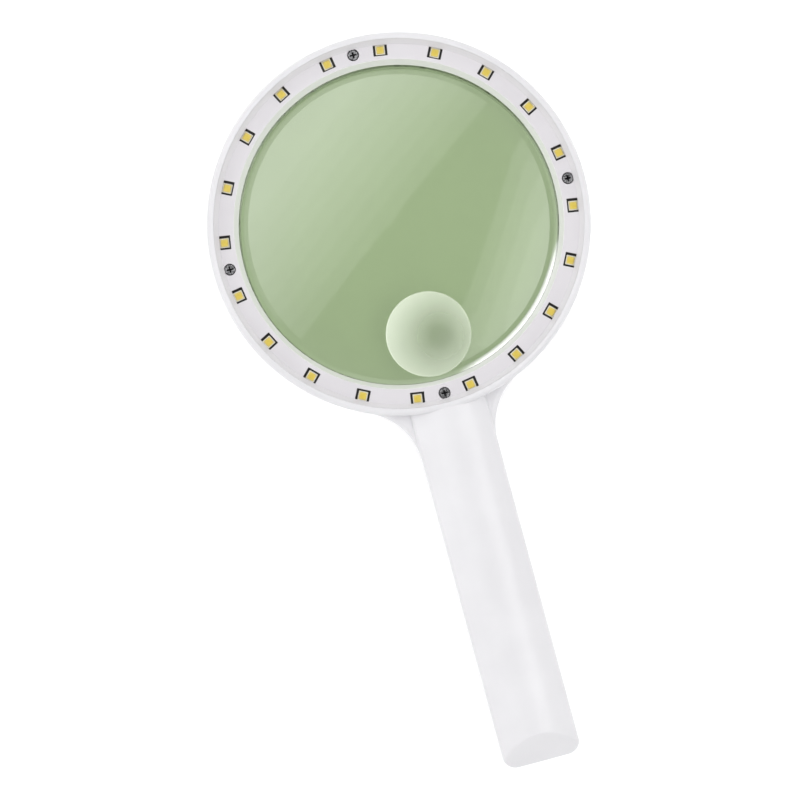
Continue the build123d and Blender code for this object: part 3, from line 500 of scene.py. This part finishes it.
# Where each band starts, from the flat end to the nub
BANDS = ((0.0, STEEL), (0.012, JACKET), (0.88, JACKET_END), (0.965, STEEL))


def cell_material(name, nub_at_high_y):
    """A cell: blue-grey jacket, paler at the positive end, and bare steel at both ends."""
    n = Nodes(f"{name}_jacket")
    low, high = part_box(name)
    start, end = (low.y, high.y) if nub_at_high_y else (high.y, low.y)
    bands = n.add("ShaderNodeValToRGB")
    ramp = bands.color_ramp
    ramp.interpolation = "CONSTANT"
    for position, _ in BANDS[1:]:
        ramp.elements.new(position)
    while len(ramp.elements) > len(BANDS):
        ramp.elements.remove(ramp.elements[-1])
    for element, (position, colour) in zip(ramp.elements, BANDS):
        element.position = position
        element.color = (*colour, 1)
    n.link(n.spread(n.axes(n.position())["Y"], 0, 1, start, end), bands.inputs["Fac"])
    scuffs = n.spread(n.noise(SCUFF_SCALE, detail=4), 0, SCUFF_SHARE, *SCUFF_RANGE)
    n.surface(
        Base_Color=n.blend_colours(scuffs, bands.outputs["Color"], SCUFF),
        Metallic=CELL_METALLIC,
        Roughness=n.spread(n.noise(CELL_GLOSS_SCALE), *CELL_ROUGH),
    )
    return n.material


for name, nub_at_high_y in (
    ("battery_left", True),
    ("battery_right", False),
    ("battery_rear", True),
):
    dress(name, cell_material(name, nub_at_high_y))

# --- Camera: square on to the lighted side, with the handle to the lower right ----------

VIEW_WIDTH = 324 * MM
LOOK_AT = Vector((RING.x - 18.2 * MM, RING.y - 69.05 * MM, 15.5 * MM))
UP = Vector((0.2613, 0.9653, 0)).normalized()
FOCAL = 100.0
SENSOR = 36.0
LEAN_DEGREES = 0.5
LEAN = Vector((0.3, -1.0, 0)).normalized() * math.tan(math.radians(LEAN_DEGREES))
CLIP_END = 20


def make_camera():
    data = bpy.data.cameras.new("photo_camera")
    data.lens = FOCAL
    data.sensor_width = SENSOR
    data.clip_end = CLIP_END
    camera = bpy.data.objects.new("photo_camera", data)
    scene.collection.objects.link(camera)
    toward = (Vector((0, 0, 1)) + LEAN).normalized()
    distance = VIEW_WIDTH * FOCAL / SENSOR
    right = UP.cross(toward).normalized()
    up = toward.cross(right)
    turn = Matrix((right, up, toward)).transposed()
    camera.matrix_world = Matrix.Translation(LOOK_AT + toward * distance) @ turn.to_4x4()
    scene.camera = camera


make_camera()

# --- Floor --------------------------------------------------------------------------------

FLOOR_HALF = 3.0
FLOOR_DROP = 0.02 * MM       # below the object, so that their faces don't meet
PAPER = (0.9, 0.9, 0.9)
PAPER_SHADE = (0.885, 0.885, 0.885)
PAPER_SCALE = 60
PAPER_ROUGH = 0.9
PAPER_GLOW = 0.22            # keeps it white under the object, as in the photograph


def make_floor():
    half = FLOOR_HALF
    corners = [(-half, -half, 0), (half, -half, 0), (half, half, 0), (-half, half, 0)]
    mesh = bpy.data.meshes.new("floor")
    mesh.from_pydata(corners, [], [(0, 1, 2, 3)])
    floor = bpy.data.objects.new("floor", mesh)
    floor.location.z = -FLOOR_DROP
    scene.collection.objects.link(floor)
    n = Nodes("floor_paper")
    n.surface(
        Base_Color=n.blend_colours(n.spread(n.noise(PAPER_SCALE), 0, 1), PAPER, PAPER_SHADE),
        Roughness=PAPER_ROUGH,
        Specular_IOR_Level=0.0,
        Emission_Color=(1, 1, 1),
        Emission_Strength=PAPER_GLOW,
    )
    mesh.materials.append(n.material)


make_floor()

# --- Light ----------------------------------------------------------------------------------

IMAGE_RIGHT = Vector((UP.y, -UP.x, 0))
BOX_DISTANCE = 2.2
BOX_STEPS = 9
BOX_SPAN = 0.8               # share of the way to the far edge that the near edges cover
FILL_DISTANCE = 2.5
# Brightness of the surroundings at the horizon, at the height given, and straight up
HORIZON = 0.55
MIDDLE = 1.0
MIDDLE_HEIGHT = 0.4
ZENITH = 0.2


def soft_box(name, toward, tilt, distance, across, along, radiance):
    """A soft box, `tilt` degrees off the vertical, towards `toward` in the picture."""
    data = bpy.data.lights.new(name, "AREA")
    data.shape = "RECTANGLE"
    data.size, data.size_y = across, along
    data.energy = radiance * across * along * math.pi
    light = bpy.data.objects.new(name, data)
    scene.collection.objects.link(light)
    heading = (IMAGE_RIGHT * toward[0] + UP * toward[1]).normalized()
    angle = math.radians(tilt)
    direction = heading * math.sin(angle) + Vector((0, 0, math.cos(angle)))
    side = direction.cross(heading).normalized()
    turn = Matrix((side, direction.cross(side), direction)).transposed()
    light.matrix_world = Matrix.Translation(RING + direction * distance) @ turn.to_4x4()


def stepped_box(name, toward, near, far, across, first, last):
    """Soft boxes that share their far edge, so the light they make together brightens to it."""
    for index in range(BOX_STEPS):
        start = near + (far - near) * BOX_SPAN * index / BOX_STEPS
        along = BOX_DISTANCE * 2 * math.tan(math.radians((far - start) / 2))
        radiance = first if index == 0 else (last - first) / (BOX_STEPS - 1)
        tilt = (start + far) / 2
        soft_box(f"{name}_{index}", toward, tilt, BOX_DISTANCE, across, along, radiance)


def make_sky():
    """White surroundings, brightest a little above the horizon."""
    world = bpy.data.worlds.new("studio")
    scene.world = world
    world.use_nodes = True
    tree = world.node_tree
    coordinates = tree.nodes.new("ShaderNodeTexCoord")
    parts = tree.nodes.new("ShaderNodeSeparateXYZ")
    ramp = tree.nodes.new("ShaderNodeValToRGB")
    ramp.color_ramp.elements.new(MIDDLE_HEIGHT)
    for element, strength in zip(ramp.color_ramp.elements, (HORIZON, MIDDLE, ZENITH)):
        element.color = (strength, strength, strength, 1)
    background = tree.nodes["Background"]
    tree.links.new(coordinates.outputs["Generated"], parts.inputs["Vector"])
    tree.links.new(parts.outputs["Z"], ramp.inputs["Fac"])
    tree.links.new(ramp.outputs["Color"], background.inputs["Color"])
    background.inputs["Strength"].default_value = 1.0


make_sky()
scene.view_settings.view_transform = "Standard"
stepped_box("upper_left_box", (-0.788, 0.616), near=4.5, far=32, across=3.0, first=0.5, last=2.5)
stepped_box("lower_right_box", (0.947, -0.3216), near=12, far=37, across=2.4, first=0.5, last=3.7)
soft_box("left_fill", (-1.0, 0.1), 64, FILL_DISTANCE, across=2.5, along=1.2, radiance=1.05)
